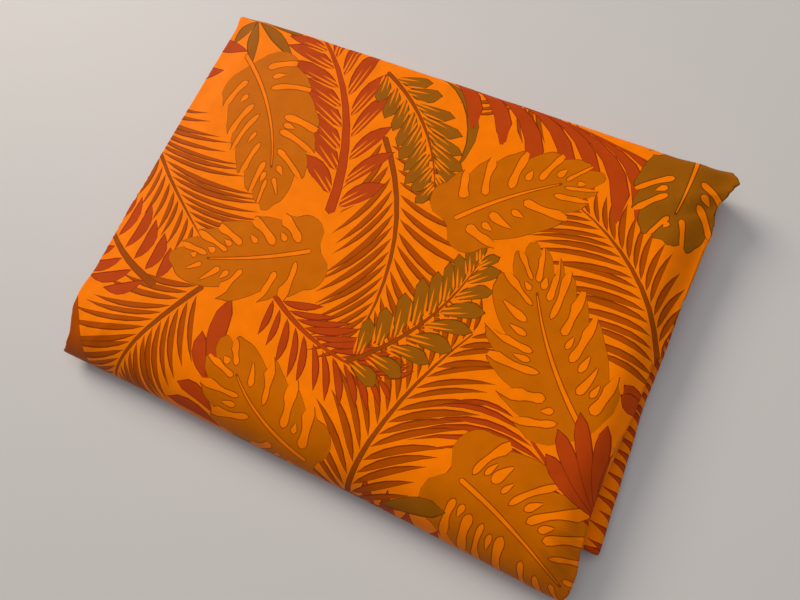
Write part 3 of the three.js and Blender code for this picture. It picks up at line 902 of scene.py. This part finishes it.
def makeStage():
    view = bpy.data.objects.new("camera", bpy.data.cameras.new("camera"))
    view.data.lens = camera["lens"]
    view.data.sensor_width = camera["film"]
    view.data.clip_start = 0.01
    x, y, z = camera["place"]
    view.location = ((x + shiftX) * mm, (y + shiftY) * mm, z * mm)
    view.rotation_euler = camera["turn"]
    bpy.context.collection.objects.link(view)
    bpy.context.scene.camera = view

    bpy.ops.mesh.primitive_plane_add(size=stage["floorSize"], location=(0, 0, 0))
    floor = bpy.context.object
    floor.name = "floor"
    paint = bpy.data.materials.new("matt pale table")
    paint.use_nodes = True
    shader = paint.node_tree.nodes["Principled BSDF"]
    shader.inputs["Base Color"].default_value = linear(stage["floorColour"])
    shader.inputs["Roughness"].default_value = stage["floorRoughness"]
    floor.data.materials.append(paint)

    for row in lamps:
        lamp = bpy.data.lights.new(row["name"], "AREA")
        lamp.shape = "DISK"
        lamp.size = row["size"]
        lamp.energy = row["energy"]
        lamp.color = linear(row["colour"])[:3]
        light = bpy.data.objects.new(row["name"], lamp)
        light.location = row["place"]
        light.rotation_euler = (-Vector(row["place"])).to_track_quat("-Z", "Y").to_euler()
        bpy.context.collection.objects.link(light)
    world = bpy.data.worlds.new("studio")
    world.use_nodes = True
    background = world.node_tree.nodes["Background"]
    background.inputs["Color"].default_value = linear(stage["skyColour"])
    background.inputs["Strength"].default_value = stage["sky"]
    bpy.context.scene.world = world
    bpy.context.scene.view_settings.view_transform = "Standard"
    print("made the camera, floor and lights")


makeStage()


def layPiece(name, sheets, material, node):
    piece = makePiece(name, sheets, silkMaterial(material))
    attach(piece, "root")
    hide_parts(node)


def spacedOver(start, *stretches):
    # places from start on; a stretch is where it ends and about how far apart its places are
    places = []
    for end, step in stretches:
        count = max(1, round((end - start) / step))
        places += [start + (end - start) * i / count for i in range(count)]
        start = end
    return places + [start]


# a turn's mesh is fine by its lips and free edges and where it bends, and wide where it lies flat
turnSpacing = {"lip": 34, "lipStep": 1.6, "edge": 6, "edgeStep": 0.8, "flatStep": 8, "bendStep": 2.4,
               "foldStep": 1.2, "roll": (-168, -90), "fold": (127, 142), "foldUnder": 172}


def turnBox(turn):
    left = pad["left"] - turn["leftReach"] - turn["inside"]
    right = pad["right"] + turn["rightReach"] + turn["inside"]
    return (left, right), (lengthFrom - turn["tuckIn"], lengthTo + turn["tuckIn"])


def turnGrid(box, stepU, stepV):
    (left, right), (low, high) = box
    s = turnSpacing
    (rollFrom, rollTo), (foldFrom, foldTo) = s["roll"], s["fold"]
    gridU = spacedOver(left, (left + s["lip"], s["lipStep"]), (right - s["lip"], stepU),
                       (right, s["lipStep"]))
    gridV = spacedOver(low, (low + s["edge"], s["edgeStep"]), (rollFrom, s["flatStep"]),
                       (rollTo, s["bendStep"]), (foldFrom, stepV), (foldTo, s["foldStep"]),
                       (s["foldUnder"], s["bendStep"]), (high - s["edge"], s["flatStep"]),
                       (high, s["edgeStep"]))
    return gridU, gridV


def turnBands(box, turn):
    # bands in which a turn's printed edges are split: both lips, where it bends and the back fold
    left, right = box[0]
    (leftFrom, leftTo), (rightFrom, rightTo) = turn["leftLip"], turn["rightLip"]
    step = turnSpacing["edgeStep"]
    lips = ((0, left + leftFrom, left + leftTo, step), (0, right - rightFrom, right - rightTo, step))
    return (*lips, (1, *turnSpacing["fold"], turnSpacing["foldStep"]), *turn.get("bends", ()))


def makeTurn(turn, name, material, node):
    box = turnBox(turn)
    (left, right), length = box
    shown = turn["shown"]
    printBoxes = [((left, left + shown), length), ((right - shown, right), length)] if shown else [box]
    shapes = [shape for at in turn["printAt"] for shape in printShapes(*at)]
    cut = cutSheet(box, *turnGrid(box, *turn["spacing"]), shapes, printBoxes, turnBands(box, turn))
    place = turnPlace(turn["offset"], turn["wall"], *turn["ends"], turn["waver"])
    layPiece(name, [placedSheet(cut, place)], material, node)


# the outer turn has the whole repeat on top, and plainer repeats of it round the front, the back and below
outerTurn = {"offset": 0.0, "wall": cloth["outerWall"], "ends": (outerLeftEnd, outerRightEnd), "inside": 14,
             "leftReach": 9, "rightReach": 4, "tuckIn": 2.3, "spacing": (4.8, 4.8), "waver": 0.4,
             "leftLip": (10, 26), "rightLip": (30, 10), "bends": ((1, 142, 170, 3.0), (1, -164, -104, 3.0)),
             "shown": 0, "printAt": ((-172, -288, False), (178, -288, False), (-172, 288, False),
                                     (178, 288, False), (0, 0, True))}
# the second turn is printed only where its ends show
secondTurn = {"offset": secondOffset, "wall": cloth["secondWall"], "ends": (secondLeftEnd, secondRightEnd),
              "inside": 12, "leftReach": 12, "rightReach": -2, "tuckIn": 2.0, "spacing": (14, 8),
              "waver": 0.7, "leftLip": (8, 26), "rightLip": (26, 8), "shown": 44,
              "printAt": ((-40, -190, False), (-40, 98, False))}

makeTurn(outerTurn, "outer_cloth", "printed silk", "outer_turn")
makeTurn(secondTurn, "second_cloth", "printed silk, second turn", "second_turn")


# The lower fold slips out of the right end.

lowerCloth = {"hem": 1.4, "inside": 8, "waver": 0.5, "wave": 17, "foldedAt": 176, "under": 12,
              "fine": (160, 204), "hemReach": 14, "print": (150, 216), "bend": (0, 168, 204, 0.8)}
lowerPalm = {"base": (212, -128), "tip": (204, 132), "bow": 5, "count": 38, "blade": 46, "width": 4.6,
             "spread": (66, 58), "ink": "rust", "ribInk": "rust", "steps": 4}
lowerBlade = bladeRow(petal, "rust", (207, -112), (172, -100), 13, 2)


def lowerFoldPlace(u, v):
    # puts flat cloth round the fold; past the front and back hems it turns over and runs back inside
    u, v = np.asarray(u, float), np.asarray(v, float)
    hem = lowerCloth["hem"]
    inside = np.clip(v, lowerFold["front"] + hem, lowerFold["back"] - hem)
    over = np.abs(v - inside)
    turned = np.clip(over / hem, 0, math.pi)
    beyond = np.clip(over - math.pi * hem, 0, None)
    y = inside + np.sign(v - inside) * (hem * np.sin(turned) - beyond)
    inset = hem * (1 - np.cos(turned))
    edge = along(lowerFoldEdge, inside) + lowerCloth["waver"] * np.sin(v / lowerCloth["wave"])
    half = (lowerFold["high"] - lowerFold["low"]) / 2
    turnX = edge - lowerFold["lip"]
    around = math.pi * math.sqrt((lowerFold["lip"] ** 2 + half ** 2) / 2)
    angle = np.clip((u - turnX) / around, 0, 1) * math.pi
    under = np.clip(u - turnX - around, 0, None)
    x = np.where(u < turnX, u, turnX + (lowerFold["lip"] - inset) * np.sin(angle) - under)
    z = lowerMiddle + (half - inset) * np.cos(angle)
    return laid(x, y, z)


def makeLowerFold():
    start = lowerFold["start"]
    end = 2 * lowerCloth["foldedAt"] - start + lowerCloth["under"]
    low, high = lowerFold["front"] - lowerCloth["inside"], lowerFold["back"] + lowerCloth["inside"]
    box = ((start, end), (low, high))
    fineFrom, fineTo = lowerCloth["fine"]
    hemReach = lowerCloth["hemReach"]
    gridU = spacedOver(start, (fineFrom, 8), (fineTo, 1.3), (end, 8))
    gridV = spacedOver(low, (low + hemReach, 0.8), (high - hemReach, 5), (high, 0.8))
    shapes = []
    paintFrond(shapes, {**leafKinds["palm"], **lowerPalm}, random.Random(3))
    paintLooseBlade(shapes, lowerBlade)
    cut = cutSheet(box, gridU, gridV, shapes, [(lowerCloth["print"], (low, high))], (lowerCloth["bend"],))
    layPiece("lower_cloth", [placedSheet(cut, lowerFoldPlace)], "printed silk, lower fold", "lower_fold")


makeLowerFold()


# The plies inside show as a stack of folded edges at both ends.

plies = {"inset": 1.6, "inside": 9, "shownLeft": 26, "shownRight": 30, "slack": 0.06, "waver": 0.8,
         "leftLip": 22, "rightLip": 26, "edge": 10, "squeeze": 0.4, "squeezeFrom": 90, "squeezeRun": 12,
         "squeezeEdge": 4, "turnBetween": 1.7}
# each ply's top as a share of the stack's height, and how far its folded edges stop short of the pad's ends
plyTable = named(
    "top left right",
    (0.095, 3.0, 7.0),
    (0.185, 5.5, 6.0),
    (0.275, 2.4, 8.0),
    (0.370, 4.6, 6.6),
    (0.460, 6.4, 7.4),
    (0.555, 3.2, 5.0),
    (0.645, 5.2, 7.6),
    (0.730, 2.6, 4.6),
    (0.820, 6.6, 6.8),
    (0.910, 3.8, 5.2),
    (1.000, 5.6, 8.0),
)


def stackHeights(y, offset):
    # the lowest and highest z inside the section offset inwards
    def reach(distance, reachY, reachZ):
        return reachZ * np.sqrt(np.maximum(0.0, 1 - (distance / reachY) ** 2))

    top = pad["height"] - offset
    backNose, nose = backFold["noseHeight"], frontRoll["noseHeight"]
    low = np.full_like(y, offset)
    high = np.full_like(y, top)
    low = np.where(y > backY, backNose - reach(y - backY, backFold["depth"] - offset, backNose - offset), low)
    high = np.where(y > backY, backNose + reach(y - backY, backFold["depth"] - offset, top - backNose), high)
    high = np.where(y < rollY, nose + reach(rollY - y, frontRoll["depth"] - offset, top - nose), high)
    low = np.where(y < underY, nose - reach(underY - y, frontRoll["underDepth"] - offset, nose - offset), low)
    return low, high


def plyPlace(bottom, row, phase):
    def place(u, v):
        u, v = np.asarray(u, float), np.asarray(v, float)
        low, high = stackHeights(v, innerOffset)
        base = low + (high - low) * bottom + plies["slack"]
        height = (high - low) * (row["top"] - bottom) - 2 * plies["slack"]
        radius = np.maximum(height / 2, 0.05)
        waver = plies["waver"] * wavy(v, (21, phase), (53, 2 * phase))
        left = pad["left"] + row["left"] + radius + waver
        right = pad["right"] - row["right"] - radius + waver
        x, turned, _ = overLip(u, left, right, radius)
        z = base + radius * (1 + np.cos(turned))
        # the lower plies are squeezed together where they lie in the lower fold
        inFold = smooth((x - plies["squeezeFrom"]) / plies["squeezeRun"])
        inFold = inFold * smooth((v - lowerFold["front"]) / plies["squeezeEdge"])
        inFold = inFold * smooth((lowerFold["back"] - v) / plies["squeezeEdge"])
        if row["top"] < 0.5:
            z = lowerMiddle + (z - lowerMiddle) * (1 - plies["squeeze"] * inFold)
        return laid(x, v, z)

    return place


def plyPrintAt(number):
    # each ply shows another stretch of the print
    return (-1) ** number * 14 * number, 18 * ((number * 5) % 7) - 54


def makePlies():
    reach = innerOffset + plies["inset"]
    low, high = pad["front"] + reach, pad["back"] - reach
    left, right = pad["left"] - plies["inside"], pad["right"] + plies["inside"]
    gridU = spacedOver(left, (left + plies["leftLip"], 1.0), (right - plies["rightLip"], 30), (right, 1.0))
    gridV = spacedOver(low, (low + plies["edge"], 1.4), (high - plies["edge"], 8), (high, 1.4))
    printBoxes = [((left, left + plies["shownLeft"]), (low, high)),
                  ((right - plies["shownRight"], right), (low, high))]
    bands = [(0, *box[0], 1.3) for box in printBoxes]
    sheets, bottom = [], 0.0
    for i, row in enumerate(plyTable):
        shapes = printShapes(*plyPrintAt(i), False)
        cut = cutSheet(((left, right), (low, high)), gridU, gridV, shapes, printBoxes, bands)
        sheets.append(placedSheet(cut, plyPlace(bottom, row, plies["turnBetween"] * i)))
        bottom = row["top"]
    layPiece("folded_plies", sheets, "printed silk, plies", "inner_layers")


makePlies()
